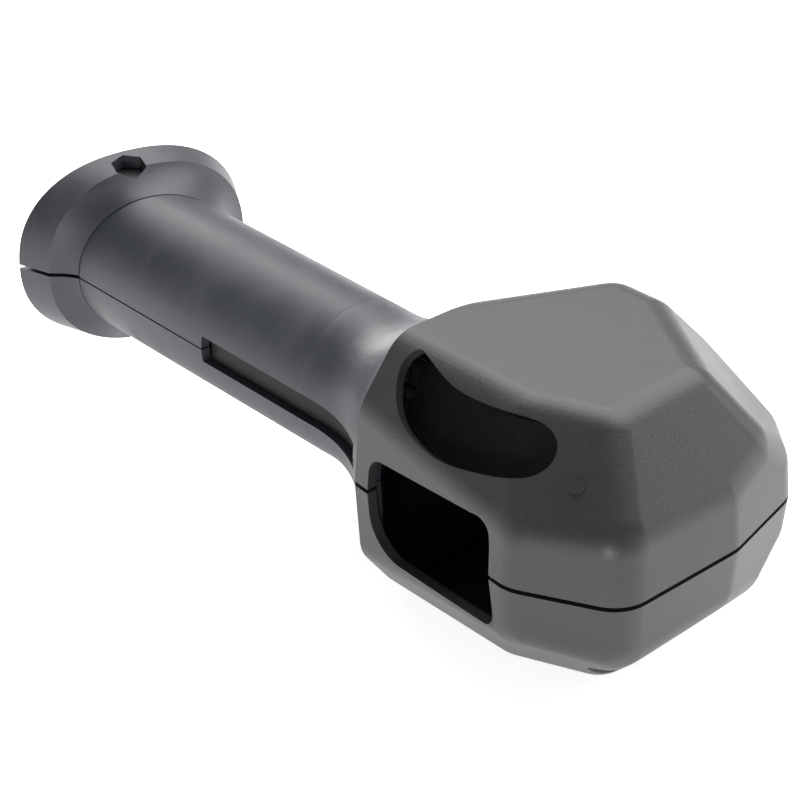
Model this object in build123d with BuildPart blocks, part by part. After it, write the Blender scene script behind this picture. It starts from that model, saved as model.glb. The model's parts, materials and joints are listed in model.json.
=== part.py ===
from build123d import *
from math import atan2, cos, hypot, pi, radians, sin, sqrt
import os

os.makedirs("parts", exist_ok=True)

# ---------------------------------------------------------------- driving dimensions
# The scanner lies on its flat left cheek.  +X runs along the handle to the head, -Y is
# the front (trigger and scan window) and +Z is the right-hand side.  The origin is the
# middle of the left cheek, so the handle axis and the parting plane are at axis_z.
half_thickness = 31.0
axis_z = half_thickness
wall = 2.4
joint_gap = 0.5
fit_gap = 0.02

neck_x = -30.2
ridge_radius = 9.0
head_parting = 0.5
grip_parting = 0.2
collar_parting = 0.45

grip_radius = 18.0
bell_start_x = -57.0
bell_radius = 37.0
neck_wall = 4.8

grip_joint_x = -133.5
grip_joint_slant = 22.0
base_x = -149.7
rim_x = -141.6
base_slant = 12.0

slot_low_x = -95.2
slot_high_x = -37.8
slot_half = 3.2

trigger_half = 2.7
pivot_x = -43.0
pivot_y = -13.5
pin_radius = 1.25

screw_radius = 1.43
screw_head_radius = 2.7
base_bolt_x = -143.8
base_bolt_radius = 1.97
nut_across_flats = 7.0
post_radius = 4.2
base_post_radius = 4.9
cap_thickness = 2.2
bolt_seat = 17.0
nut_seat = 16.6
nut_turn = 42.0
boss_start = 4.8
pin_half_length = 9.0
board_y = -4.6
board_thickness = 1.6
screw_bite = 8.0

parting = Plane.XY.offset(axis_z)

# Each moulded facet of the head's right half: a point on it (x, y, height above the
# parting plane), the way it faces in plan and how far it leans up, in degrees.
facets = {
    "front_band": (-8, -31.2, 0, -94.4, 5),
    "front_corner_band": (27.7, -28.4, 0, -62, 5),
    "end_band": (39.6, -6, 0, 1, 5),
    "end_corner_band": (36.2, 22, 0, 15, 5),
    "rear_corner_band": (25.2, 40.2, 0, 48, 5),
    "rear_band": (6, 47, 0, 96, 5),
    "rear_neck_band": (-22, 37.5, 0, 130, 5),
    "front_slope": (-9, -17.5, 31, -90, 38),
    "front_corner_slope": (20.8, -9.8, 31, -66, 46),
    "end_slope": (22.2, 0, 31, 3, 43),
    "rear_corner_slope": (13.4, 22.1, 31, 60, 43),
    "rear_slope": (-4, 33.5, 31, 92, 38),
    "rear_neck_slope": (-25, 15, 31, 155, 45),
}


def facet_plane(name, inset=0.0):
    """Outward plane of one facet, moved inwards by inset."""
    x, y, height, facing, lean = facets[name]
    level = cos(radians(lean))
    normal = Vector(cos(radians(facing)) * level, sin(radians(facing)) * level, sin(radians(lean)))
    return Plane(origin=Vector(x, y, axis_z + height) - normal * inset, z_dir=normal)


def slanted_plane(x, slant):
    """Plane across the handle at x, turned by slant so that its rear is nearer the head."""
    turn = radians(slant)
    return Plane(origin=(x, 0, axis_z), x_dir=(sin(turn), cos(turn), 0), z_dir=(cos(turn), -sin(turn), 0))


def both_sides(half):
    """The half and its mirror image in the parting plane, joined."""
    with BuildPart() as whole:
        add(half)
        mirror(half, about=parting)
    return whole.part


# ---------------------------------------------------------------- head
def head_block(inset, radius, start_x):
    """Solid right half of the head, from start_x on, with soft ridges between facets."""
    length = 70
    with BuildPart() as block:
        with BuildSketch(parting):
            Rectangle(2 * length, 2 * length)
        extrude(amount=half_thickness - inset)
        for name in facets:
            split(bisect_by=facet_plane(name, inset), keep=Keep.BOTTOM)
        ridges = [
            edge for edge in block.edges()
            if edge.bounding_box().max.Z > axis_z + 1 and edge.bounding_box().max.X > 1 - length
        ]
        fillet(ridges, radius)
        split(bisect_by=Plane(origin=(start_x, 0, 0), z_dir=(1, 0, 0)), keep=Keep.TOP)
    return block.part


head_outer = head_block(0, ridge_radius, neck_x)
head_inner = head_block(wall, ridge_radius - wall, neck_x)


kidney_plane = Plane(
    origin=(-4, facets["front_slope"][1], axis_z + half_thickness),
    x_dir=(1, 0, 0),
    z_dir=facet_plane("front_slope").z_dir,
)


def kidney_face(grow):
    """Kidney outline on the front slope; its long sides bow the same way."""
    with BuildSketch() as sketch:
        with BuildLine():
            Spline(
                (-18.6, -0.8), (-12.9, -2.6), (-6.5, -4.2), (1.0, -4.2), (8.4, -3.2), (14.8, -2.2),
                (19.4, -3.6), (21.2, -7.0), (19.8, -11.8), (14.6, -15.0), (6.5, -17.2), (-1.5, -18.4),
                (-9.7, -17.3), (-16.6, -14.0), (-20.6, -8.6), (-21.2, -3.8), periodic=True,
            )
        make_face()
        if grow:
            offset(amount=grow, kind=Kind.ARC)
    return sketch.sketch


def window_face(grow):
    """Scan window outline seen from the front: local x is +X, local y is up from the parting."""
    with BuildSketch() as sketch:
        with BuildLine():
            Polyline((-25.9, 8.2), (11.2, 11.6), (13.2, -13), (-25.9, -14.4), close=True)
        make_face()
        for x, y, radius in ((-25.9, 8.2, 4), (11.2, 11.6, 3.5), (13.2, -13, 3), (-25.9, -14.4, 9)):
            fillet(sketch.vertices().sort_by_distance((x, y, 0))[0], radius)
        if grow:
            offset(amount=grow, kind=Kind.ARC)
    return sketch.sketch


# Plain round pip moulded beside the key opening, standing on the front corner slope.
pip_plane = facet_plane("front_corner_slope")
pip_near = Vector(24, -20.1, 51.5)
pip_centre = pip_near - pip_plane.z_dir * (pip_near - pip_plane.origin).dot(pip_plane.z_dir)
pip_radius = 1.6
pip_height = 0.4

window_plane = Plane(origin=(0, -40, axis_z), x_dir=(1, 0, 0), z_dir=(0, -1, 0))

# Case screws that join the two halves: (x, y, depth of the head's seat below the parting).
head_screws = [(-19, 30, 14), (22, 31, 14), (28, -15, 12)]
grip_screws = [(-116, 9.3, 9), (-62, 9.3, 9)]


def post(x, y, radius, low, high):
    """Round post between two heights measured from the parting plane."""
    with BuildPart() as rod:
        with BuildSketch(parting.offset(low)):
            with Locations((x, y)):
                Circle(radius)
        extrude(amount=high - low)
    return rod.part


def post_inside(solid, x, y, radius, height):
    """Post from the parting plane outwards, trimmed by the outside of the housing."""
    rod = post(x, y, radius, 0, height)
    with BuildPart() as trimmed:
        add(rod)
        add(solid, mode=Mode.INTERSECT)
    return trimmed.part


def shell_half(outer, inner, gap, screws, side):
    """One moulded half, side +1 right or -1 left, set back from the parting by gap.

    Its screw posts do reach the parting plane, so the two halves bear on them.
    """
    posts = [post_inside(outer, x, y, post_radius, side * 40) for x, y, _ in screws]
    holes = []
    for x, y, seat in screws:
        if side > 0:
            holes.append(post(x, y, screw_radius + fit_gap, 0, screw_bite + 1))
        else:
            holes.append(post(x, y, screw_radius + 0.2, 0, -seat))
            holes.append(post(x, y, screw_head_radius + 0.3, -seat, -45))
    with BuildPart() as shell:
        add(outer)
        add(inner, mode=Mode.SUBTRACT)
        split(bisect_by=parting.offset(side * gap), keep=Keep.TOP if side > 0 else Keep.BOTTOM)
        add(posts)
        add(holes, mode=Mode.SUBTRACT)
    return shell.part


def head_shell(side):
    """Head half with its share of the scan window; only the right half has the key opening."""
    outer = both_sides(head_outer)
    inner = both_sides(head_inner)
    plain = shell_half(outer, inner, head_parting, head_screws, side)
    with BuildPart() as shell:
        add(plain)
        with BuildSketch(window_plane):
            add(window_face(0))
        extrude(amount=-20, mode=Mode.SUBTRACT)
        with BuildSketch(window_plane):
            add(window_face(1.0))
        extrude(amount=-(40 - 31.3), mode=Mode.SUBTRACT)
        if side > 0:
            with BuildSketch(kidney_plane):
                add(kidney_face(0))
            extrude(amount=12, both=True, mode=Mode.SUBTRACT)
            with BuildSketch(Plane(origin=pip_centre, z_dir=pip_plane.z_dir)):
                Circle(pip_radius)
            extrude(amount=pip_height)
    return shell.part


right_head = head_shell(1)
right_head.label = "head_shell_right"
export_step(right_head, "parts/head_shell_right.step")

left_head = head_shell(-1)
left_head.label = "head_shell_left"
export_step(left_head, "parts/head_shell_left.step")


# ---------------------------------------------------------------- handle and neck bell
def neck_outline():
    """(angle, radius) samples round the head's outside at the neck, about the handle axis."""
    edge_face = head_outer.faces().sort_by(Axis.X)[0]
    samples = []
    for step in range(721):
        point = edge_face.outer_wire().position_at(step / 720)
        height = point.Z - axis_z
        if height > 0.05:
            samples.append((atan2(height, point.Y), hypot(height, point.Y)))
    return sorted(samples)


neck_samples = neck_outline()


def neck_reach(angle):
    """Distance from the handle axis to the outside of the neck at one angle."""
    below = max((sample for sample in neck_samples if sample[0] <= angle), default=neck_samples[0])
    above = min((sample for sample in neck_samples if sample[0] >= angle), default=neck_samples[-1])
    span = above[0] - below[0]
    share = (angle - below[0]) / span if span > 0 else 0
    return below[1] + (above[1] - below[1]) * share


def bell_section(x, start_radius, thickness):
    """Closed section across the neck bell at x, thickness inside its outer surface."""
    run = max(0.0, x - bell_start_x)
    full_run = neck_x - bell_start_x
    rise = bell_radius - sqrt(bell_radius**2 - run**2)
    full_rise = bell_radius - sqrt(bell_radius**2 - full_run**2)
    growth = rise / full_rise
    points = []
    for step in range(36):
        angle = step * pi / 18
        reach = neck_reach(min(angle, 2 * pi - angle))
        radius = start_radius + (reach - thickness - start_radius) * growth
        points.append((radius * cos(angle), radius * sin(angle)))
    with BuildSketch(Plane(origin=(x, 0, axis_z), x_dir=(0, 1, 0), z_dir=(1, 0, 0))) as section:
        with BuildLine():
            Spline(*points, periodic=True)
        make_face()
    return section.sketch


def handle_block(radius, thickness, end_x):
    """Handle from the collar joint to the neck, as a solid: a round bar, then the bell."""
    start_x = bell_start_x - 6
    step = (end_x - start_x) / 7
    sections = [bell_section(start_x + step * count, radius - 0.03, thickness) for count in range(8)]
    with BuildPart() as flare:
        add(sections)
        loft()
    with BuildPart() as block:
        with BuildSketch(Plane(origin=(base_x, 0, axis_z), x_dir=(0, 1, 0), z_dir=(1, 0, 0))):
            Circle(radius)
        extrude(amount=start_x - base_x)
        add(flare.part)
        split(bisect_by=slanted_plane(grip_joint_x, grip_joint_slant), keep=Keep.TOP)
    return block.part


handle_outer = handle_block(grip_radius, 0, neck_x - joint_gap)
handle_inner = handle_block(grip_radius - wall, neck_wall, neck_x + 1)


def neck_spigot():
    """Ring on the end of the bell that locates inside the head shells."""
    with BuildPart() as ring:
        with BuildSketch(Plane(origin=(neck_x - joint_gap, 0, axis_z), x_dir=(0, 1, 0), z_dir=(1, 0, 0))):
            add(spigot_face(wall + 1.3))
            add(spigot_face(neck_wall), mode=Mode.SUBTRACT)
        extrude(amount=joint_gap + 2.6)
    return ring.part


def spigot_face(thickness):
    """Neck outline moved inwards by thickness, in its own flat coordinates."""
    points = []
    for step in range(36):
        angle = step * pi / 18
        reach = neck_reach(min(angle, 2 * pi - angle)) - thickness
        points.append((reach * cos(angle), reach * sin(angle)))
    with BuildSketch() as face:
        with BuildLine():
            Spline(*points, periodic=True)
        make_face()
    return face.sketch


def rib(x, side):
    """Rib that backs the switch board, trimmed to the inside of the handle."""
    with BuildPart() as block:
        with BuildSketch(parting.offset(side * 8)):
            with Locations((x, board_y + board_thickness + 2)):
                Rectangle(1.6, 4)
        extrude(amount=side * 12)
        add(handle_outer, mode=Mode.INTERSECT)
    return block.part


def pivot_boss(side):
    """Boss beside the trigger that carries one end of its pin."""
    with BuildPart() as boss:
        with BuildSketch(parting.offset(side * boss_start)):
            with Locations((pivot_x, pivot_y)):
                Circle(3)
        extrude(amount=side * 16)
        add(handle_outer, mode=Mode.INTERSECT)
    return boss.part


def grip_shell(side):
    """Handle half with its share of the trigger slot, the bell and the neck spigot."""
    plain = shell_half(handle_outer, handle_inner, grip_parting, grip_screws, side)
    ring = neck_spigot()
    extras = [rib(-112, side), rib(-76, side), pivot_boss(side)]
    pin_hole = post(pivot_x, pivot_y, pin_radius + fit_gap, 0, side * pin_half_length)
    with BuildPart() as half_ring:
        add(ring)
        split(bisect_by=parting.offset(side * grip_parting), keep=Keep.TOP if side > 0 else Keep.BOTTOM)
    with BuildPart() as shell:
        add(plain)
        add(half_ring.part)
        with BuildSketch(parting):
            with Locations(((slot_low_x + slot_high_x) / 2, -22)):
                Rectangle(slot_high_x - slot_low_x, 20)
        extrude(amount=slot_half, both=True, mode=Mode.SUBTRACT)
        add(extras)
        add(pin_hole, mode=Mode.SUBTRACT)
    return shell.part


right_grip = grip_shell(1)
right_grip.label = "grip_shell_right"
export_step(right_grip, "parts/grip_shell_right.step")

left_grip = grip_shell(-1)
left_grip.label = "grip_shell_left"
export_step(left_grip, "parts/grip_shell_left.step")


# ---------------------------------------------------------------- base collar
base_centre_y = 3.3
base_half_width = 28.3
base_half_height = 23.2
squareness = 0.88

# Sections of the collar: x, slant, centre y, half width and half height.
flare_shape = (-137.3, 17, 0.6, 19.6, 19.0)
rim_shape = (rim_x, base_slant + 0.6, 2.3, 24.7, 22.3)
base_shape = (base_x, base_slant, base_centre_y, base_half_width, base_half_height)
rim_wall = 4.4


def collar_section(x, slant, centre_y, half_width, half_height, inset=0.0):
    """Rounded section across the collar; half_width is measured along Y."""
    stretch = cos(radians(slant))
    points = []
    for step in range(24):
        angle = step * pi / 12
        across = (half_width - inset) * abs(cos(angle)) ** squareness
        rise = (half_height - inset) * abs(sin(angle)) ** squareness
        across = across if cos(angle) > 0 else -across
        rise = rise if sin(angle) > 0 else -rise
        points.append(((centre_y + across) / stretch, rise))
    with BuildSketch(slanted_plane(x, slant)) as section:
        with BuildLine():
            Spline(*points, periodic=True)
        make_face()
    return section.sketch


def round_section(x, slant, radius):
    """Slanted cut through a round bar on the handle axis."""
    with BuildSketch(slanted_plane(x, slant)) as section:
        Ellipse(radius / cos(radians(slant)), radius)
    return section.sketch


def collar_section_face(inset):
    """Base outline moved inwards by inset, in its own flat coordinates."""
    stretch = cos(radians(base_slant))
    points = []
    for step in range(24):
        angle = step * pi / 12
        across = (base_half_width - inset) * abs(cos(angle)) ** squareness
        rise = (base_half_height - inset) * abs(sin(angle)) ** squareness
        across = across if cos(angle) > 0 else -across
        rise = rise if sin(angle) > 0 else -rise
        points.append(((base_centre_y + across) / stretch, rise))
    with BuildSketch() as face:
        with BuildLine():
            Spline(*points, periodic=True)
        make_face()
    return face.sketch


def collar_block():
    """Outside of the collar: concave flare, sharp edge, then the rim band."""
    flare = [
        round_section(grip_joint_x - joint_gap, grip_joint_slant, grip_radius),
        collar_section(*flare_shape),
        collar_section(*rim_shape),
    ]
    band = [
        collar_section(*rim_shape),
        collar_section(*base_shape),
    ]
    with BuildPart() as block:
        add(flare)
        loft()
        add(band)
        loft(ruled=True)
    return block.part


def collar_hollow():
    """Inside of the collar, open towards the base."""
    with BuildPart() as hollow:
        add(round_section(grip_joint_x + 0.5, grip_joint_slant, grip_radius - wall - 1.6))
        add(collar_section(*rim_shape, rim_wall))
        loft(ruled=True)
        add(collar_section(*rim_shape, rim_wall))
        add(collar_section(base_x - 0.5, *base_shape[1:], wall))
        loft(ruled=True)
        with BuildSketch(slanted_plane(base_x - 0.5, base_slant)):
            add(collar_section_face(wall))
        extrude(amount=cap_thickness + 0.8)
    return hollow.part


collar_outer = collar_block()
collar_inner = collar_hollow()


def collar_shell(side):
    """Collar half; the right one has the hexagonal nut pocket, the left one the bolt's counterbore."""
    bolt_post = post_inside(collar_outer, base_bolt_x, 0, base_post_radius, side * 40)
    bolt_hole = post(base_bolt_x, 0, base_bolt_radius + 0.15, 0, side * 40)
    head_hole = post(base_bolt_x, 0, 3.8, -bolt_seat, -40)
    with BuildPart() as spigot:
        with BuildSketch(Plane(origin=(grip_joint_x - 8.5, 0, axis_z), x_dir=(0, 1, 0), z_dir=(1, 0, 0))):
            Circle(grip_radius - wall - fit_gap)
            Circle(grip_radius - wall - 1.5, mode=Mode.SUBTRACT)
        extrude(amount=16)
        split(bisect_by=slanted_plane(grip_joint_x - 1, grip_joint_slant), keep=Keep.TOP)
        split(bisect_by=slanted_plane(grip_joint_x + 3, grip_joint_slant), keep=Keep.BOTTOM)
    with BuildPart() as shell:
        add(collar_outer)
        add(collar_inner, mode=Mode.SUBTRACT)
        add(spigot.part)
        split(bisect_by=parting.offset(side * collar_parting), keep=Keep.TOP if side > 0 else Keep.BOTTOM)
        add(bolt_post)
        add(bolt_hole, mode=Mode.SUBTRACT)
        if side > 0:
            with BuildSketch(parting.offset(nut_seat)):
                with Locations((base_bolt_x, 0)):
                    RegularPolygon((nut_across_flats + 0.3) / 2, 6, major_radius=False, rotation=nut_turn)
            extrude(amount=20, mode=Mode.SUBTRACT)
        else:
            add(head_hole, mode=Mode.SUBTRACT)
    return shell.part


right_collar = collar_shell(1)
right_collar.label = "base_collar_right"
export_step(right_collar, "parts/base_collar_right.step")

left_collar = collar_shell(-1)
left_collar.label = "base_collar_left"
export_step(left_collar, "parts/base_collar_left.step")


# ---------------------------------------------------------------- base cap and cable inlet
cap_plane = slanted_plane(base_x + 0.1, base_slant)
jack_across = 12.05
jack_depth = 8.0


def base_cap():
    """Plate that closes the collar, with the cable inlet and four latch lugs at the parting."""
    relief = post(base_bolt_x, 0, base_post_radius + 0.1, -30, 30)
    with BuildPart() as cap:
        with BuildSketch(cap_plane):
            add(collar_section_face(wall + 0.15))
            with Locations((jack_across, 0)):
                RectangleRounded(10.4, 8.2, 0.8, mode=Mode.SUBTRACT)
        extrude(amount=cap_thickness)
        add(relief, mode=Mode.SUBTRACT)
        with BuildSketch(cap_plane):
            with Locations((-20.4, 4.4), (-20.4, -2.6), (26.8, 2.6), (26.8, -2.6)):
                Rectangle(2.4, 2.6)
        extrude(amount=-1.6)
    return cap.part


cap = base_cap()
cap.label = "base_cap"
export_step(cap, "parts/base_cap.step")

with BuildPart() as cable_jack:
    with BuildSketch(cap_plane.offset(cap_thickness)):
        with Locations((jack_across, 0)):
            Rectangle(11.6, 10.2)
    extrude(amount=jack_depth)
    with BuildSketch(cap_plane.offset(cap_thickness)):
        with Locations((jack_across, 0)):
            Rectangle(10.2, 7.8)
    extrude(amount=jack_depth - 1.5, mode=Mode.SUBTRACT)
cable_jack.part.label = "cable_jack"
export_step(cable_jack.part, "parts/cable_jack.step")

with BuildPart() as jack_contacts:
    with BuildSketch(cap_plane.offset(cap_thickness + 2)):
        with Locations((jack_across, -3.4)):
            with GridLocations(1.02, 1, 8, 1):
                Rectangle(0.5, 1.0)
    extrude(amount=4.4)
jack_contacts.part.label = "jack_contacts"
export_step(jack_contacts.part, "parts/jack_contacts.step")


# ---------------------------------------------------------------- fasteners
def pan_screw(x, y, seat):
    """Pan-head screw driven from the left side, its head on the seat below the parting."""
    with BuildPart() as screw:
        with BuildSketch(parting.offset(-seat)):
            with Locations((x, y)):
                Circle(screw_radius)
        extrude(amount=seat + screw_bite)
        with BuildSketch(parting.offset(-seat)):
            with Locations((x, y)):
                Circle(screw_head_radius)
        extrude(amount=-1.9)
        with BuildSketch(parting.offset(-seat - 1.9)):
            with Locations((x, y)):
                Rectangle(3.2, 0.7)
                Rectangle(0.7, 3.2)
        extrude(amount=1.1, mode=Mode.SUBTRACT)
    return screw.part


with BuildPart() as case_screws:
    add([pan_screw(x, y, seat) for x, y, seat in head_screws + grip_screws])
case_screws.part.label = "case_screws"
export_step(case_screws.part, "parts/case_screws.step")

with BuildPart() as base_bolt:
    with BuildSketch(parting.offset(-bolt_seat)):
        with Locations((base_bolt_x, 0)):
            Circle(base_bolt_radius)
    extrude(amount=bolt_seat + nut_seat + 3.2)
    with BuildSketch(parting.offset(-bolt_seat)):
        with Locations((base_bolt_x, 0)):
            Circle(3.5)
    extrude(amount=-4)
    with BuildSketch(parting.offset(-bolt_seat - 4)):
        with Locations((base_bolt_x, 0)):
            RegularPolygon(1.5, 6, major_radius=False)
    extrude(amount=2.4, mode=Mode.SUBTRACT)
base_bolt.part.label = "base_bolt"
export_step(base_bolt.part, "parts/base_bolt.step")

with BuildPart() as base_nut:
    with BuildSketch(parting.offset(nut_seat)):
        with Locations((base_bolt_x, 0)):
            RegularPolygon(nut_across_flats / 2, 6, major_radius=False, rotation=nut_turn)
            Circle(base_bolt_radius + fit_gap, mode=Mode.SUBTRACT)
    extrude(amount=3.2)
base_nut.part.label = "base_nut"
export_step(base_nut.part, "parts/base_nut.step")


# ---------------------------------------------------------------- trigger group
with BuildPart() as trigger:
    with BuildSketch(parting.offset(-trigger_half)):
        with BuildLine():
            Line((-94.2, -15.9), (-57, -15.9))
            ThreePointArc((-57, -15.9), (-47.5, -17.0), (-39.2, -20.4))
            Polyline((-39.2, -20.4), (-39.2, -11), (-46.5, -10.6), (-50, -12.3), (-94.2, -12.3), (-94.2, -15.9))
        make_face()
        with Locations((pivot_x, pivot_y)):
            Circle(pin_radius + 0.05, mode=Mode.SUBTRACT)
    extrude(amount=2 * trigger_half)
    with BuildSketch(parting.offset(-4.6)):
        with Locations((-76, -13.3)):
            Rectangle(32, 2)
    extrude(amount=9.2)
trigger.part.label = "trigger"
export_step(trigger.part, "parts/trigger.step")

with BuildPart() as trigger_pin:
    with BuildSketch(parting.offset(-pin_half_length + 0.2)):
        with Locations((pivot_x, pivot_y)):
            Circle(pin_radius)
    extrude(amount=2 * pin_half_length - 0.4)
trigger_pin.part.label = "trigger_pin"
export_step(trigger_pin.part, "parts/trigger_pin.step")

trigger_back = -12.3
spring_x = -86.0
with BuildPart() as trigger_spring:
    with BuildSketch(Plane(origin=(spring_x, trigger_back, axis_z), x_dir=(1, 0, 0), z_dir=(0, 1, 0))):
        Circle(2.2)
        Circle(1.7, mode=Mode.SUBTRACT)
    extrude(amount=board_y - trigger_back)
trigger_spring.part.label = "trigger_spring"
export_step(trigger_spring.part, "parts/trigger_spring.step")

board_front = Plane(origin=(0, board_y, axis_z), x_dir=(1, 0, 0), z_dir=(0, -1, 0))
switch_x = -60.0

with BuildPart() as switch_board:
    with BuildSketch(board_front):
        with Locations((-80, 0)):
            RectangleRounded(70, 22, 1.5)
    extrude(amount=-board_thickness)
switch_board.part.label = "switch_board"
export_step(switch_board.part, "parts/switch_board.step")

with BuildPart() as switch_body:
    with BuildSketch(board_front):
        with Locations((switch_x, 0)):
            Rectangle(12.8, 5.8)
    extrude(amount=5.6)
    with BuildSketch(board_front.offset(5.6)):
        with Locations((switch_x, 0)):
            Circle(1.2)
    extrude(amount=-3, mode=Mode.SUBTRACT)
switch_body.part.label = "switch_body"
export_step(switch_body.part, "parts/switch_body.step")

with BuildPart() as switch_plunger:
    with BuildSketch(board_front.offset(4.0)):
        with Locations((switch_x, 0)):
            Circle(1.15)
    extrude(amount=-trigger_back + board_y - 4.0 - 0.15)
switch_plunger.part.label = "switch_plunger"
export_step(switch_plunger.part, "parts/switch_plunger.step")


# ---------------------------------------------------------------- side key
key_depth = 6.4
key_thickness = 1.6
key_board_depth = 14.6

with BuildPart() as side_key:
    with BuildSketch(kidney_plane.offset(-key_depth)):
        add(kidney_face(0))
    extrude(amount=-key_thickness)
    split(bisect_by=parting.offset(half_thickness - wall - 1), keep=Keep.BOTTOM)
    split(bisect_by=facet_plane("front_corner_slope", wall + 1), keep=Keep.BOTTOM)
    with BuildSketch(kidney_plane.offset(-key_depth - key_thickness)):
        with Locations((-3, -10)):
            Circle(2.2)
    extrude(amount=-0.8)
side_key.part.label = "side_key"
export_step(side_key.part, "parts/side_key.step")

with BuildPart() as key_board:
    with BuildSketch(kidney_plane.offset(-key_board_depth)):
        with Locations((4, -9)):
            RectangleRounded(36, 13, 1.2)
    extrude(amount=1.2)
key_board.part.label = "key_board"
export_step(key_board.part, "parts/key_board.step")

with BuildPart() as key_switch:
    with BuildSketch(kidney_plane.offset(-key_board_depth + 1.2)):
        with Locations((-3, -10)):
            RectangleRounded(6, 6, 0.5)
    extrude(amount=2.4)
    with BuildSketch(kidney_plane.offset(-key_board_depth + 3.6)):
        with Locations((-3, -10)):
            Circle(1.7)
    extrude(amount=0.5)
key_switch.part.label = "key_switch"
export_step(key_switch.part, "parts/key_switch.step")


# ---------------------------------------------------------------- scan engine and main board
engine_front = 6.0
engine_face = Plane(origin=(0, engine_front, axis_z), x_dir=(1, 0, 0), z_dir=(0, -1, 0))
board_face_y = 23.9
lens_x = -3.0
led_offset = 10.0

with BuildPart() as engine_cradle:
    with BuildSketch(parting.offset(-13)):
        with Locations((-3, (2 + board_face_y) / 2)):
            Rectangle(34.4, board_face_y - 2)
    extrude(amount=2)
    with BuildSketch(parting.offset(-11)):
        with Locations((-19.2, 13), (13.2, 13)):
            Rectangle(2, 17.8)
    extrude(amount=14)
    with BuildSketch(parting.offset(-13)):
        with Locations((-14, 7), (8, 7), (-3, 19)):
            Circle(3)
    extrude(amount=-(half_thickness - wall - 13))
engine_cradle.part.label = "engine_cradle"
export_step(engine_cradle.part, "parts/engine_cradle.step")

with BuildPart() as scan_engine:
    with BuildSketch(engine_face):
        with Locations((lens_x, -2)):
            RectangleRounded(30, 18, 1)
    extrude(amount=-16)
    with BuildSketch(engine_face):
        with Locations((lens_x, -2)):
            Circle(5.2)
    extrude(amount=-4, mode=Mode.SUBTRACT)
    with BuildSketch(engine_face):
        with Locations((lens_x - led_offset, -2), (lens_x + led_offset, -2)):
            Rectangle(6.4, 8.4)
    extrude(amount=-2, mode=Mode.SUBTRACT)
scan_engine.part.label = "scan_engine"
export_step(scan_engine.part, "parts/scan_engine.step")

with BuildPart() as engine_lens:
    with BuildSketch(engine_face.offset(-4)):
        with Locations((lens_x, -2)):
            Circle(5.1)
    extrude(amount=5.5)
    with BuildSketch(engine_face.offset(1.5)):
        with Locations((lens_x, -2)):
            Circle(3.6)
    extrude(amount=-1.4, mode=Mode.SUBTRACT)
engine_lens.part.label = "engine_lens"
export_step(engine_lens.part, "parts/engine_lens.step")

with BuildPart() as engine_leds:
    with BuildSketch(engine_face.offset(-2)):
        with Locations((lens_x - led_offset, -2), (lens_x + led_offset, -2)):
            RectangleRounded(6.2, 8.2, 0.6)
    extrude(amount=1.6)
    with BuildSketch(engine_face.offset(-0.4)):
        with Locations((lens_x - led_offset, 0), (lens_x + led_offset, 0)):
            Circle(1.6)
        with Locations((lens_x - led_offset, -4), (lens_x + led_offset, -4)):
            Circle(1.6)
    extrude(amount=1.2)
engine_leds.part.label = "engine_leds"
export_step(engine_leds.part, "parts/engine_leds.step")

board_rear = Plane(origin=(0, board_face_y + board_thickness, axis_z), x_dir=(1, 0, 0), z_dir=(0, 1, 0))
board_front_face = Plane(origin=(0, board_face_y, axis_z), x_dir=(1, 0, 0), z_dir=(0, -1, 0))

with BuildPart() as main_board:
    with BuildSketch(board_front_face):
        with Locations((2, 0)):
            RectangleRounded(46, 36, 1.5)
    extrude(amount=-board_thickness)
main_board.part.label = "main_board"
export_step(main_board.part, "parts/main_board.step")


def board_block(name, x, height, width, tall, thick):
    """Rectangular component on the rear of the main board."""
    with BuildPart() as block:
        with BuildSketch(board_rear):
            with Locations((x, -height)):
                Rectangle(width, tall)
        extrude(amount=thick)
    block.part.label = name
    export_step(block.part, f"parts/{name}.step")


board_block("processor_chip", -2, 6, 14, 14, 1.4)
board_block("memory_chip", 13, 8, 10, 8, 1.1)
board_block("power_module", 11, -8, 9, 9, 2.6)

with BuildPart() as capacitors:
    with BuildSketch(board_rear):
        with Locations((-12.3, -13), (-12.3, -7), (-12.3, -1)):
            Circle(2.2)
    extrude(amount=5.8)
capacitors.part.label = "capacitors"
export_step(capacitors.part, "parts/capacitors.step")

with BuildPart() as beeper:
    with BuildSketch(board_rear):
        with Locations((-4, 10)):
            Circle(6)
            Circle(1, mode=Mode.SUBTRACT)
    extrude(amount=6.5)
beeper.part.label = "beeper"
export_step(beeper.part, "parts/beeper.step")

with BuildPart() as harness_socket:
    with BuildSketch(board_front_face):
        with Locations((4, 13)):
            Rectangle(12, 5)
    extrude(amount=5)
harness_socket.part.label = "harness_socket"
export_step(harness_socket.part, "parts/harness_socket.step")

with BuildPart() as engine_flex:
    with BuildSketch(Plane(origin=(0, engine_front + 16, axis_z), x_dir=(1, 0, 0), z_dir=(0, 1, 0))):
        with Locations((lens_x, -2)):
            Rectangle(12, 0.3)
    extrude(amount=board_face_y - engine_front - 16)
engine_flex.part.label = "engine_flex"
export_step(engine_flex.part, "parts/engine_flex.step")


# ---------------------------------------------------------------- internal wire harness
harness_radius = 1.5
jack_rear_x = base_x + 0.1 + cap_thickness + jack_depth + 2.6
harness_route = [
    (jack_rear_x + 0.6, 9.2, axis_z), (jack_rear_x + 7, 8.4, axis_z), (-121, 1.8, axis_z),
    (-96, 1.3, axis_z), (-66, 1.8, axis_z), (-42, 3.2, axis_z + 1.5), (-25, 5.5, axis_z + 11),
    (-9, 8, axis_z + 13), (4, 11.5, axis_z + 13), (4, 18.9, axis_z + 13),
]


def bend_radii(route):
    """Largest arc at each corner that its two runs allow."""
    points = [Vector(*point) for point in route]
    radii = []
    for before, corner, after in zip(points, points[1:], points[2:]):
        first = corner - before
        second = after - corner
        turn = radians(first.get_angle(second))
        radii.append(0.45 * min(first.length, second.length) / (sin(turn / 2) / cos(turn / 2)))
    return radii


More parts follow.
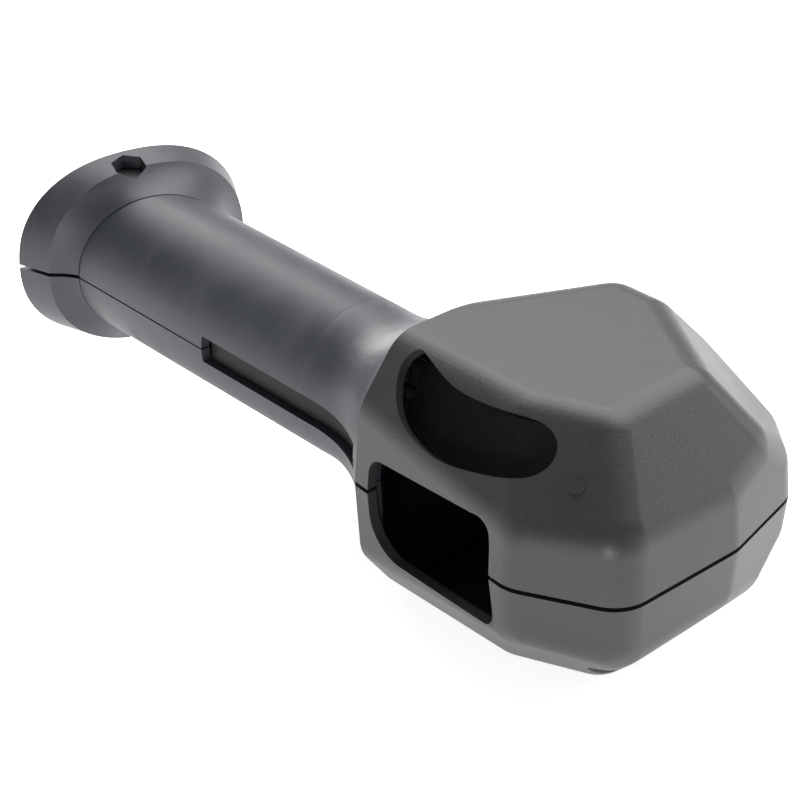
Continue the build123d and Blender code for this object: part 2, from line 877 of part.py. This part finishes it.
with BuildPart() as wire_harness:
    with BuildLine() as harness_path:
        FilletPolyline(*harness_route, radius=bend_radii(harness_route))
    with BuildSketch(Plane(origin=harness_path.line @ 0, z_dir=harness_path.line % 0)):
        Circle(harness_radius)
    sweep()
wire_harness.part.label = "wire_harness"
export_step(wire_harness.part, "parts/wire_harness.step")
print("harness radii", [round(radius, 1) for radius in bend_radii(harness_route)])
print("harness volume", wire_harness.part.volume, pi * harness_radius**2 * harness_path.wires()[0].length)
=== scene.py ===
import json
import math

import bmesh
import bpy
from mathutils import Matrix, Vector

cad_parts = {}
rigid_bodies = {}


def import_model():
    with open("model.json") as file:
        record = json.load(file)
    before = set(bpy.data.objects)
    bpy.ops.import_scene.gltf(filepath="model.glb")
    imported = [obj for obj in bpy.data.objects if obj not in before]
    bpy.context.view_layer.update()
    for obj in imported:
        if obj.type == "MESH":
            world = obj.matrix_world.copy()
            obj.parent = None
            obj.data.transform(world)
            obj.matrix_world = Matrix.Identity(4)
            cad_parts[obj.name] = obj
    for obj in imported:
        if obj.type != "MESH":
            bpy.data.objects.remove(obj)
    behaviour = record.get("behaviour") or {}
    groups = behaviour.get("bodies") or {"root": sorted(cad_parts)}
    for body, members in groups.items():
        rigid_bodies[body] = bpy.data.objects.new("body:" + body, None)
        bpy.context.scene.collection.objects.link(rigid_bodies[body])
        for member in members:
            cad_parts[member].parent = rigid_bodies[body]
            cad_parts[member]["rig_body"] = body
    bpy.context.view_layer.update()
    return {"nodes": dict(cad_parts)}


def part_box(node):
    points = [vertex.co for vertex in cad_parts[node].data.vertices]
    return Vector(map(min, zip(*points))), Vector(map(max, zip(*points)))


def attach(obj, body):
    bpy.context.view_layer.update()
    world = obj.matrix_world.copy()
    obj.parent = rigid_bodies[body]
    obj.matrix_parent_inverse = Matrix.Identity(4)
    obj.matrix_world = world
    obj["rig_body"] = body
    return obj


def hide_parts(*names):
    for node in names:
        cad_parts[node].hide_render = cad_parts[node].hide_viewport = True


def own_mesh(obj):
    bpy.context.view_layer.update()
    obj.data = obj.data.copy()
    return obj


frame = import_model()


# Head shells: two injection-moulded halves in warm grey ABS, closed round the scan engine by three
# screws from the left. The tool was spark-eroded, which leaves a fine even pebble over the facets,
# and handling has left a thin pale film and specks of dust in it.
class Value:
    """A socket of a finish. Arithmetic on it adds the Math nodes."""

    def __init__(self, finish, socket):
        self.finish = finish
        self.socket = socket

    def work_out(self, operation, *values):
        return self.finish.node("ShaderNodeMath", {"operation": operation}, dict(enumerate(values)))

    def __add__(self, other):
        return self.work_out("ADD", self, other)

    def __sub__(self, other):
        return self.work_out("SUBTRACT", self, other)

    def __rsub__(self, other):
        return self.work_out("SUBTRACT", other, self)

    def __mul__(self, other):
        return self.work_out("MULTIPLY", self, other)

    def __pow__(self, other):
        return self.work_out("POWER", self, other)

    def __abs__(self):
        return self.work_out("ABSOLUTE", self)

    def __lt__(self, other):
        return self.work_out("LESS_THAN", self, other)

    def __gt__(self, other):
        return self.work_out("GREATER_THAN", self, other)

    __radd__ = __add__
    __rmul__ = __mul__


class Finish:
    """A material being made. node() adds any node to it."""

    def __init__(self, name, owner=None):
        self.material = owner or bpy.data.materials.new(name)
        self.material.use_nodes = True
        self.tree = self.material.node_tree
        self.tree.nodes.clear()

    def node(self, kind, settings, sockets, output=0):
        made = self.tree.nodes.new(kind)
        for name, value in settings.items():
            setattr(made, name, value)
        for name, value in sockets.items():
            if isinstance(value, Value):
                self.tree.links.new(value.socket, made.inputs[name])
            else:
                made.inputs[name].default_value = value
        return Value(self, made.outputs[output]) if len(made.outputs) else None

    def spot(self, **moved):
        """Object coordinates, moved, turned and scaled."""
        here = self.node("ShaderNodeTexCoord", {}, {}, "Object")
        return self.node("ShaderNodeMapping", {}, {"Vector": here, **moved})

    def axis(self, spot, number):
        """One coordinate of a spot: 0 along the grip, 1 front to rear, 2 up."""
        return self.node("ShaderNodeSeparateXYZ", {}, {0: spot}, number)

    def ridges(self, value, half_width):
        """Climbs to half_width and falls back over and over, as straight ribs do."""
        return self.node("ShaderNodeMath", {"operation": "PINGPONG"}, {0: value, 1: half_width})

    def noise(self, spot, size, detail=2.0, bend=0.0):
        """Noise whose features are about size metres across."""
        sockets = {"Vector": spot, "Scale": 1 / size, "Detail": detail, "Distortion": bend}
        return self.node("ShaderNodeTexNoise", {}, sockets, "Fac")

    def cells(self, spot, size):
        return self.node("ShaderNodeTexVoronoi", {}, {"Vector": spot, "Scale": 1 / size}, "Distance")

    def step(self, value, low, high):
        """0 below low and 1 above high, smooth between. A low above high turns it round."""
        settings = {"interpolation_type": "SMOOTHSTEP"}
        return self.node("ShaderNodeMapRange", settings, {"Value": value, 1: low, 2: high})

    def blend(self, share, first, second):
        sockets = {0: share, 6: first, 7: second}
        return self.node("ShaderNodeMix", {"data_type": "RGBA"}, sockets, 2)

    def bump(self, height, distance):
        return self.node("ShaderNodeBump", {}, {"Height": height, "Distance": distance})

    def surface(self, **sockets):
        named = {name.replace("_", " "): value for name, value in sockets.items()}
        shader = self.node("ShaderNodeBsdfPrincipled", {}, named)
        self.node("ShaderNodeOutputMaterial", {}, {"Surface": shader})
        return self.material


def moulded_plastic(name, colour, roughness, pebble, depth, dust, extra=None, shine=0.5):
    """Plastic from a textured tool: pebble is the grain's size and depth its height, in metres.

    dust is the strength of the film and specks, and extra may add wear before the surface is made.
    """
    finish = Finish(name)
    spot = finish.spot()
    pit_in_pebbles = 1.7
    grain_height = 0.7
    pit_height = 0.45
    grain_share = 0.12
    film_share = 0.5
    drift_gloss = 0.07
    grain_gloss = 0.12
    film_gloss = 0.12
    drift = finish.step(finish.noise(spot, size=0.035, detail=4.0), low=0.35, high=0.68)
    grain = finish.noise(spot, size=pebble, detail=2.0)
    pits = finish.cells(spot, size=pebble * pit_in_pebbles)
    height = grain * grain_height + pits * pit_height
    film = finish.step(finish.noise(spot, size=0.012, detail=6.0, bend=0.6), low=0.5, high=0.82) * dust
    scatter = finish.noise(spot, size=0.02, detail=1.0)
    specks = finish.step(finish.cells(spot, size=0.0042), low=0.075, high=0.05) * scatter * dust
    dark = tuple(0.84 * part for part in colour)
    pale = tuple(0.5 * part + 0.09 for part in colour)
    base = finish.blend(drift, (*dark, 1), (*colour, 1))
    paleness = finish.step(grain, low=0.42, high=0.75) * grain_share + film * film_share + specks
    base = finish.blend(paleness, base, (*pale, 1))
    rough = roughness + (drift - 0.5) * drift_gloss + (grain - 0.5) * grain_gloss + film * film_gloss
    if extra:
        base, rough, height = extra(finish, base, rough, height)
    relief = finish.bump(height, distance=depth)
    return finish.surface(Base_Color=base, Roughness=rough, Normal=relief, Specular_IOR_Level=shine)


def shade(work, crease):
    """Smooth faces, with an edge left sharp where it turns by more than crease degrees."""
    for edge in work.edges:
        edge.smooth = len(edge.link_faces) == 2 and edge.calc_face_angle(0) < math.radians(crease)
    for face in work.faces:
        face.smooth = True


merge_gap = 1e-6
moulded_crease = 28


def skin(node_name, finish):
    """A merged copy with smooth shading that stands for one CAD node."""
    node = frame["nodes"][node_name]
    points = [tuple(v.co) for v in node.data.vertices]
    mesh = bpy.data.meshes.new(node_name + "_skin")
    mesh.from_pydata(points, [], [tuple(p.vertices) for p in node.data.polygons])
    work = bmesh.new()
    work.from_mesh(mesh)
    bmesh.ops.remove_doubles(work, verts=work.verts, dist=merge_gap)
    shade(work, moulded_crease)
    work.to_mesh(mesh)
    work.free()
    mesh.materials.append(finish)
    piece = bpy.data.objects.new(node_name + "_skin", mesh)
    bpy.context.scene.collection.objects.link(piece)
    even = piece.modifiers.new("even shading", "WEIGHTED_NORMAL")
    even.keep_sharp = True
    even.weight = 60
    plain(piece)
    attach(piece, node["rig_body"])
    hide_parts(node_name)


def plain(piece):
    """Turns a piece's modifiers into its own mesh."""
    evaluated = piece.evaluated_get(bpy.context.evaluated_depsgraph_get())
    finished = bpy.data.meshes.new_from_object(evaluated)
    piece.modifiers.clear()
    piece.data = finished


head_plastic = moulded_plastic(
    "head_pebbled_abs",
    (0.031, 0.031, 0.0335),
    roughness=0.42,
    pebble=0.00036,
    depth=0.00004,
    dust=0.07,
)
for name in ("head_shell_right", "head_shell_left"):
    skin(name, head_plastic)


# Grip shells: the same plastic from a polished tool, so a smoother satin with a cool cast. Hands
# have left greasy smudges that run round it, and the tip of a dark scratch is at the neck's rear.
def hand_wear(finish, base, rough, height):
    round_grip = finish.spot(Scale=(1.0, 0.45, 0.45), Rotation=(0.0, 0.0, math.radians(12)))
    cloud = finish.noise(round_grip, size=0.014, detail=3.0, bend=1.2)
    smudge = finish.step(cloud, low=0.44, high=0.72)
    scratch_spot = finish.spot(Location=(0.049, 0.0, 0.0), Rotation=(0.0, 0.0, math.radians(24)))
    along = finish.axis(scratch_spot, 0)
    across = finish.axis(scratch_spot, 1)
    up = finish.axis(scratch_spot, 2)
    scratch_reach = 0.0045
    scratch_place = 0.0045
    scratch_half_width = 0.00018
    right_side_from = 0.04
    scratch_depth = 4
    wander = finish.noise(scratch_spot, size=0.002, detail=2.0) * 0.0012
    line = abs(across + wander - scratch_place) < scratch_half_width
    scratch = (abs(along) < scratch_reach) * line * (up > right_side_from)
    grease = (0.2, 0.21, 0.22, 1)
    bruise = (0.012, 0.012, 0.013, 1)
    base = finish.blend(smudge * 0.07, base, grease)
    base = finish.blend(scratch * 0.8, base, bruise)
    return base, rough + smudge * 0.1 - 0.03, height - scratch * scratch_depth


grip_plastic = moulded_plastic(
    "grip_satin_abs",
    (0.03, 0.034, 0.042),
    roughness=0.46,
    pebble=0.00032,
    depth=0.000012,
    dust=0.05,
    extra=hand_wear,
)
for name in ("grip_shell_right", "grip_shell_left"):
    skin(name, grip_plastic)


# Base collar: two flared halves with a spigot inside the grip's end, drawn together by one bolt
# into the nut in the hexagonal pocket. It is the grip's satin plastic, a little paler.
collar_plastic = moulded_plastic(
    "collar_satin_abs",
    (0.034, 0.038, 0.046),
    roughness=0.47,
    pebble=0.00032,
    depth=0.000014,
    dust=0.06,
    extra=hand_wear,
)
for name in ("base_collar_right", "base_collar_left"):
    skin(name, collar_plastic)


# Base cap and cable jack: a flat moulded lid inside the rim with four small lugs, and the black
# socket that the scanner's lead would plug into, with its row of gold-flashed contacts.
cap_plastic = moulded_plastic(
    "cap_satin_abs",
    (0.045, 0.046, 0.049),
    roughness=0.45,
    pebble=0.0004,
    depth=0.00003,
    dust=0.05,
)
skin("base_cap", cap_plastic)
chassis_plastic = moulded_plastic(
    "chassis_black_nylon",
    (0.008, 0.008, 0.009),
    roughness=0.5,
    pebble=0.0004,
    depth=0.00003,
    dust=0.02,
    shine=0.25,
)
skin("cable_jack", chassis_plastic)


def metal(name, colour, roughness, stretch):
    """Metal with drawing lines that run along the axis where stretch is small."""
    finish = Finish(name)
    stain_share = 0.6
    line_share = 0.2
    stain_gloss = 0.14
    line_gloss = 0.16
    lines = finish.noise(finish.spot(Scale=stretch), size=0.0003, detail=3.0)
    stain = finish.step(finish.noise(finish.spot(), size=0.006, detail=4.0), low=0.4, high=0.75)
    dull = tuple(0.62 * part for part in colour)
    base = finish.blend(stain * stain_share + lines * line_share, (*colour, 1), (*dull, 1))
    rough = roughness + stain * stain_gloss + (lines - 0.5) * line_gloss
    return finish.surface(
        Base_Color=base, Roughness=rough, Metallic=1.0, Normal=finish.bump(lines, distance=0.00001)
    )


contact_gold = metal("contact_gold_flash", (0.78, 0.58, 0.24), roughness=0.24, stretch=(0.1, 1.0, 1.0))
skin("jack_contacts", contact_gold)


# Screws: zinc-plated cross-head screws hold the halves, and the collar has a black steel nut in its
# pocket with the bolt through from the left. Plating dulls unevenly where drivers have slipped.
zinc_steel = metal("screw_zinc_plate", (0.52, 0.52, 0.5), roughness=0.32, stretch=(1.0, 1.0, 0.2))
black_steel = metal("nut_black_oxide", (0.045, 0.045, 0.05), roughness=0.4, stretch=(1.0, 1.0, 0.2))
skin("case_screws", zinc_steel)
skin("base_bolt", black_steel)
skin("base_nut", black_steel)


# Trigger: one long black bar that rocks on a steel pin near the neck and is pushed out by a coil
# spring at its free end. Its plastic is blacker than the housing's, with hardly any dust in it.
trigger_plastic = moulded_plastic(
    "trigger_black_abs",
    (0.006, 0.006, 0.007),
    roughness=0.45,
    pebble=0.00035,
    depth=0.00002,
    dust=0.012,
    shine=0.18,
)
skin("trigger", trigger_plastic)
spring_steel = metal("spring_bright_wire", (0.56, 0.56, 0.57), roughness=0.22, stretch=(1.0, 1.0, 1.0))
skin("trigger_pin", spring_steel)


def node_group(name, inputs):
    """An empty geometry tree with named inputs, and its input and output nodes."""
    tree = bpy.data.node_groups.new(name, "GeometryNodeTree")
    for label, kind, value in inputs:
        tree.interface.new_socket(label, in_out="INPUT", socket_type=kind).default_value = value
    tree.interface.new_socket("Geometry", in_out="OUTPUT", socket_type="NodeSocketGeometry")
    return tree, tree.nodes.new("NodeGroupInput"), tree.nodes.new("NodeGroupOutput")


def add(tree, kind, sockets):
    """Adds a geometry node, and links or sets its sockets by name."""
    made = tree.nodes.new(kind)
    for label, value in sockets.items():
        if isinstance(value, bpy.types.NodeSocket):
            tree.links.new(value, made.inputs[label])
        else:
            made.inputs[label].default_value = value
    return made


def finish_tree(tree, end, geometry, material):
    """Ends a tree in plain geometry with its material set."""
    real = add(tree, "GeometryNodeRealizeInstances", {"Geometry": geometry})
    painted = add(tree, "GeometryNodeSetMaterial", {"Geometry": real.outputs[0], "Material": material})
    tree.links.new(painted.outputs[0], end.inputs["Geometry"])


seam_gap = 1e-7
wire_crease = 40


def grown(name, tree, values):
    """Runs a geometry tree with these inputs and keeps the result as a plain piece."""
    piece = bpy.data.objects.new(name, bpy.data.meshes.new(name))
    bpy.context.scene.collection.objects.link(piece)
    growth = piece.modifiers.new("growth", "NODES")
    growth.node_group = tree
    for socket in tree.interface.items_tree:
        if socket.item_type == "SOCKET" and socket.in_out == "INPUT" and socket.name in values:
            growth[socket.identifier] = values[socket.name]
    plain(piece)
    work = bmesh.new()
    work.from_mesh(piece.data)
    bmesh.ops.remove_doubles(work, verts=work.verts, dist=seam_gap)
    bmesh.ops.recalc_face_normals(work, faces=work.faces)
    shade(work, wire_crease)
    work.to_mesh(piece.data)
    work.free()
    return piece


spring_low, spring_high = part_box("trigger_spring")
spring_middle = (spring_low + spring_high) / 2
spring_wire = 0.0003
spring_radius = (spring_high.x - spring_low.x) / 2 - spring_wire
spring_length = spring_high.y - spring_low.y - 2 * spring_wire
spring_turns = 7.0
steps_per_turn = 24
wire_sides = 10
spring_tree, start, end = node_group(
    "coil spring",
    (
        ("Radius", "NodeSocketFloat", spring_radius),
        ("Length", "NodeSocketFloat", spring_length),
        ("Turns", "NodeSocketFloat", spring_turns),
        ("Wire", "NodeSocketFloat", spring_wire),
        ("Seat", "NodeSocketVector", (0, 0, 0)),
    ),
)
helix = add(
    spring_tree,
    "GeometryNodeCurveSpiral",
    {
        "Resolution": steps_per_turn,
        "Rotations": start.outputs["Turns"],
        "Start Radius": start.outputs["Radius"],
        "End Radius": start.outputs["Radius"],
        "Height": start.outputs["Length"],
    },
)
wire = add(
    spring_tree,
    "GeometryNodeCurvePrimitiveCircle",
    {"Resolution": wire_sides, "Radius": start.outputs["Wire"]},
)
coil = add(
    spring_tree,
    "GeometryNodeCurveToMesh",
    {"Curve": helix.outputs[0], "Profile Curve": wire.outputs[0], "Fill Caps": True},
)
seated = add(
    spring_tree,
    "GeometryNodeTransform",
    {
        "Geometry": coil.outputs[0],
        "Translation": start.outputs["Seat"],
        "Rotation": (-math.pi / 2, 0, 0),
    },
)
finish_tree(spring_tree, end, seated.outputs[0], spring_steel)
spring = grown(
    "trigger_coil_spring",
    spring_tree,
    {
        "Radius": spring_radius,
        "Length": spring_length,
        "Turns": spring_turns,
        "Wire": spring_wire,
        "Seat": (spring_middle.x, spring_low.y + spring_wire, spring_middle.z),
    },
)
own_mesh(spring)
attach(spring, "housing")
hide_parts("trigger_spring")


# Trigger switch: a narrow green board along the grip carries a black switch, whose pale plunger
# is pushed in by the back of the trigger. The board is dark solder mask over copper.
def solder_mask(name, colour, copper):
    """Board with fine copper tracks under the mask and tinned holes through it."""
    finish = Finish(name)
    spot = finish.spot()
    settings = {"offset": 0.5, "squash": 1.0}
    sockets = {
        "Vector": spot,
        "Scale": 160.0,
        "Mortar Size": 0.06,
        "Brick Width": 0.9,
        "Row Height": 0.22,
    }
    tracks = finish.node("ShaderNodeTexBrick", settings, sockets, "Fac")
    holes = finish.step(finish.cells(spot, size=0.0031), low=0.11, high=0.09)
    weave = finish.noise(spot, size=0.0009, detail=3.0)
    base = finish.blend(tracks * 0.75, (*colour, 1), (*copper, 1))
    base = finish.blend(holes, base, (0.55, 0.53, 0.48, 1))
    rough = 0.28 + weave * 0.14 + holes * 0.1
    height = tracks * 0.6 + holes * 0.8 + weave * 0.2
    relief = finish.bump(height, distance=0.00003)
    return finish.surface(Base_Color=base, Roughness=rough, Normal=relief)


board_mask = solder_mask("board_green_mask", (0.006, 0.045, 0.02), (0.03, 0.11, 0.04))
skin("switch_board", board_mask)
skin("switch_body", chassis_plastic)


def nylon(name, colour):
    """Pale nylon: slightly milky, with flow marks from the gate."""
    finish = Finish(name)
    spot = finish.spot(Scale=(1.0, 1.0, 0.35))
    flow = finish.noise(spot, size=0.002, detail=4.0, bend=0.8)
    grain = finish.noise(finish.spot(), size=0.00025, detail=2.0)
    warm = tuple(0.82 * part for part in colour)
    base = finish.blend(finish.step(flow, low=0.35, high=0.7), (*colour, 1), (*warm, 1))
    rough = 0.42 + flow * 0.16
    relief = finish.bump(grain, distance=0.00001)
    return finish.surface(Base_Color=base, Roughness=rough, Normal=relief)


white_nylon = nylon("connector_white_nylon", (0.62, 0.59, 0.5))
skin("switch_plunger", white_nylon)


# Side key: a kidney-shaped black rubber button behind the opening in the right half, with a stem
# that presses a small push switch on its own board. Moulded rubber is matt, with a faint bloom.
def rubber(name, colour):
    """Matt moulded rubber with a cloudy pale bloom on it."""
    finish = Finish(name)
    spot = finish.spot()
    bloom = finish.step(finish.noise(spot, size=0.008, detail=5.0, bend=0.5), low=0.4, high=0.8)
    grain = finish.noise(spot, size=0.0004, detail=3.0)
    pale = tuple(part + 0.012 for part in colour)
    base = finish.blend(bloom * 0.5 + grain * 0.15, (*colour, 1), (*pale, 1))
    rough = 0.6 + bloom * 0.14 + (grain - 0.5) * 0.1
    relief = finish.bump(grain, distance=0.00004)
    return finish.surface(Base_Color=base, Roughness=rough, Normal=relief, Specular_IOR_Level=0.15)


key_rubber = rubber("key_black_rubber", (0.005, 0.005, 0.006))
skin("side_key", key_rubber)
skin("key_board", board_mask)


def epoxy(name, colour):
    """Chip package: filled black epoxy, matt on top with tiny glints of glass filler."""
    finish = Finish(name)
    spot = finish.spot()
    filler = finish.cells(spot, size=0.00022)
    cloud = finish.noise(spot, size=0.003, detail=3.0)
    pale = tuple(part + 0.03 for part in colour)
    glints = finish.step(filler, low=0.16, high=0.08)
    base = finish.blend(glints * 0.6 + cloud * 0.2, (*colour, 1), (*pale, 1))
    rough = 0.55 + cloud * 0.15 - glints * 0.15
    relief = finish.bump(filler, distance=0.00001)
    return finish.surface(Base_Color=base, Roughness=rough, Normal=relief)


chip_epoxy = epoxy("chip_black_epoxy", (0.014, 0.014, 0.016))
skin("key_switch", chip_epoxy)


# Scan engine: a black camera block in a cradle behind the window, with a coated glass lens
# between two pale illumination lenses, and a short amber flex from its back to the main board.
# The cradle's paler grey is painted light: it stands in for light reaching in through the window.
# Painted light: the cradle is a paler grey so the dark interior behind the window reads as lit.
cradle_painted_light_plastic = moulded_plastic(
    "cradle_abs_painted_light",
    (0.035, 0.036, 0.039),
    roughness=0.4,
    pebble=0.0004,
    depth=0.00003,
    dust=0.03,
)
skin("engine_cradle", cradle_painted_light_plastic)
skin("scan_engine", chassis_plastic)


def coated_glass(name, middle):
    """Lens front: nearly black glass, with a violet bloom from its coating towards the rim."""
    finish = Finish(name)
    centred = finish.spot(Location=tuple(-part for part in middle))
    right = finish.axis(centred, 0)
    up = finish.axis(centred, 2)
    reach = (right * right + up * up) ** 0.5
    bloom = finish.step(reach, low=0.0004, high=0.0019)
    ripple = finish.noise(finish.spot(), size=0.001, detail=2.0)
    base = finish.blend(bloom, (0.004, 0.004, 0.008, 1), (0.03, 0.012, 0.045, 1))
    rough = 0.03 + ripple * 0.03
    return finish.surface(Base_Color=base, Roughness=rough, Coat_Weight=1.0, Coat_Roughness=0.02)


lens_low, lens_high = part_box("engine_lens")
lens_glass = coated_glass("lens_coated_glass", (lens_low + lens_high) / 2)
skin("engine_lens", lens_glass)


def ribbed_lens(name):
    """Illumination lens: pale clear plastic over a warm chip, moulded in fine ribs."""
    finish = Finish(name)
    rib_half_width = 0.00035
    rib_gain = 2000
    ribs = finish.ridges(finish.axis(finish.spot(), 0), rib_half_width) * rib_gain
    cloud = finish.noise(finish.spot(), size=0.0012, detail=2.0)
    base = finish.blend(cloud, (0.52, 0.5, 0.42, 1), (0.34, 0.33, 0.3, 1))
    rough = 0.12 + cloud * 0.12
    relief = finish.bump(ribs, distance=0.00008)
    return finish.surface(Base_Color=base, Roughness=rough, Coat_Weight=0.6, Normal=relief)


skin("engine_leds", ribbed_lens("led_ribbed_lens"))


def polyimide(name):
    """Flex: amber film with copper tracks showing through."""
    finish = Finish(name)
    track_half_pitch = 0.0004
    pitch = finish.ridges(finish.axis(finish.spot(), 0), track_half_pitch)
    tracks = finish.step(pitch, low=0.00014, high=0.0002)
    cloud = finish.noise(finish.spot(), size=0.002, detail=3.0)
    base = finish.blend(tracks * 0.8, (0.2, 0.075, 0.012, 1), (0.42, 0.19, 0.05, 1))
    rough = 0.26 + cloud * 0.14
    relief = finish.bump(tracks, distance=0.00003)
    return finish.surface(Base_Color=base, Roughness=rough, Normal=relief)


skin("engine_flex", polyimide("flex_amber_film"))


# Main board: the decoder board across the head behind the engine, with its processor, memory,
# power block, capacitors, a round beeper and the socket that the wire harness plugs into.
skin("main_board", board_mask)
for name in ("processor_chip", "memory_chip", "power_module"):
    skin(name, chip_epoxy)
can_metal = metal("capacitor_brushed_can", (0.66, 0.66, 0.68), roughness=0.28, stretch=(1.0, 1.0, 0.1))
skin("capacitors", can_metal)
skin("beeper", chassis_plastic)
skin("harness_socket", white_nylon)


# Wire harness: a sleeved bundle that runs from the cable jack up the grip to the main board. The
# sleeve is woven from black yarn, so it shows two sets of crossing strands.
def braid(name, colour):
    """Woven sleeve: two sets of strands that cross at a steep angle."""
    finish = Finish(name)
    lay_angle = math.radians(38)
    yarn_half_width = 0.0004
    strands = []
    for turn in (-1, 1):
        spot = finish.spot(Rotation=(0.0, 0.0, turn * lay_angle))
        strands.append(finish.ridges(finish.axis(spot, 0), yarn_half_width) * (1 / yarn_half_width))
    weave = strands[0] * strands[1]
    pale = tuple(part + 0.03 for part in colour)
    base = finish.blend(weave, (*colour, 1), (*pale, 1))
    rough = 0.6 + weave * 0.15
    relief = finish.bump(weave, distance=0.0001)
    return finish.surface(Base_Color=base, Roughness=rough, Normal=relief)


skin("wire_harness", braid("harness_black_braid", (0.014, 0.014, 0.015)))


# Table and light: a flat white sheet that glows enough to wash out most shadow. A large box above
# does most of the work, with weaker ones left and right and a small one low in front that faces
# the scan window.
floor_half = 3.0
floor_corners = [
    (-floor_half, -floor_half, 0),
    (floor_half, -floor_half, 0),
    (floor_half, floor_half, 0),
    (-floor_half, floor_half, 0),
]
floor_mesh = bpy.data.meshes.new("studio_floor")
floor_mesh.from_pydata(floor_corners, [], [(0, 1, 2, 3)])
floor = bpy.data.objects.new("studio_floor", floor_mesh)
bpy.context.scene.collection.objects.link(floor)
paper = Finish("floor_white_paper")
fibre = paper.noise(paper.spot(), size=0.004, detail=3.0)
paper_base = paper.blend(fibre, (0.88, 0.88, 0.88, 1), (0.9, 0.9, 0.9, 1))
floor_mesh.materials.append(
    paper.surface(
        Base_Color=paper_base,
        Roughness=0.9,
        Specular_IOR_Level=0.1,
        Emission_Color=(1, 1, 1, 1),
        Emission_Strength=0.8,
    )
)

world = bpy.data.worlds.new("studio")
bpy.context.scene.world = world
walls = Finish("studio", world)
way = walls.node("ShaderNodeTexCoord", {}, {}, "Generated")
climb = walls.step(walls.axis(way, 2), low=0.05, high=0.42)
glow = walls.blend(climb, (0.92, 0.92, 0.93, 1), (0.24, 0.24, 0.245, 1))
background = walls.node("ShaderNodeBackground", {}, {"Color": glow, "Strength": 1.0})
walls.node("ShaderNodeOutputWorld", {}, {"Surface": background})

middle = Vector((-0.049, 0.0, 0.031))


def softbox(name, place, width, height, power):
    """Area lamp at a place measured from the middle of the scanner, turned to face it."""
    lamp = bpy.data.lights.new(name, "AREA")
    lamp.shape = "RECTANGLE"
    lamp.size = width
    lamp.size_y = height
    lamp.energy = power
    stand = bpy.data.objects.new(name, lamp)
    stand.location = middle + Vector(place)
    stand.rotation_euler = (-Vector(place)).to_track_quat("-Z", "Y").to_euler()
    bpy.context.scene.collection.objects.link(stand)


softbox("overhead_box", (-0.15, 0.45, 0.8), width=1.1, height=0.9, power=13.5)
softbox("left_box", (-0.9, 0.25, 0.3), width=0.5, height=0.7, power=6.0)
softbox("right_box", (0.5, 0.9, 0.3), width=0.5, height=0.7, power=3.0)
softbox("window_fill", (0.5, -0.6, 0.06), width=0.25, height=0.12, power=1.2)

azimuth = math.radians(48)
elevation = math.radians(30.5)
distance = 0.6
look_from = Vector(
    (
        math.sin(azimuth) * math.cos(elevation),
        -math.cos(azimuth) * math.cos(elevation),
        math.sin(elevation),
    )
)
lens = bpy.data.cameras.new("camera")
lens.lens = 125
lens.sensor_width = 36
lens.clip_start = 0.01
camera = bpy.data.objects.new("camera", lens)
camera.location = middle + distance * look_from
camera.rotation_euler = (-look_from).to_track_quat("-Z", "Y").to_euler()
bpy.context.scene.collection.objects.link(camera)
bpy.context.scene.camera = camera
bpy.context.scene.view_settings.view_transform = "Standard"
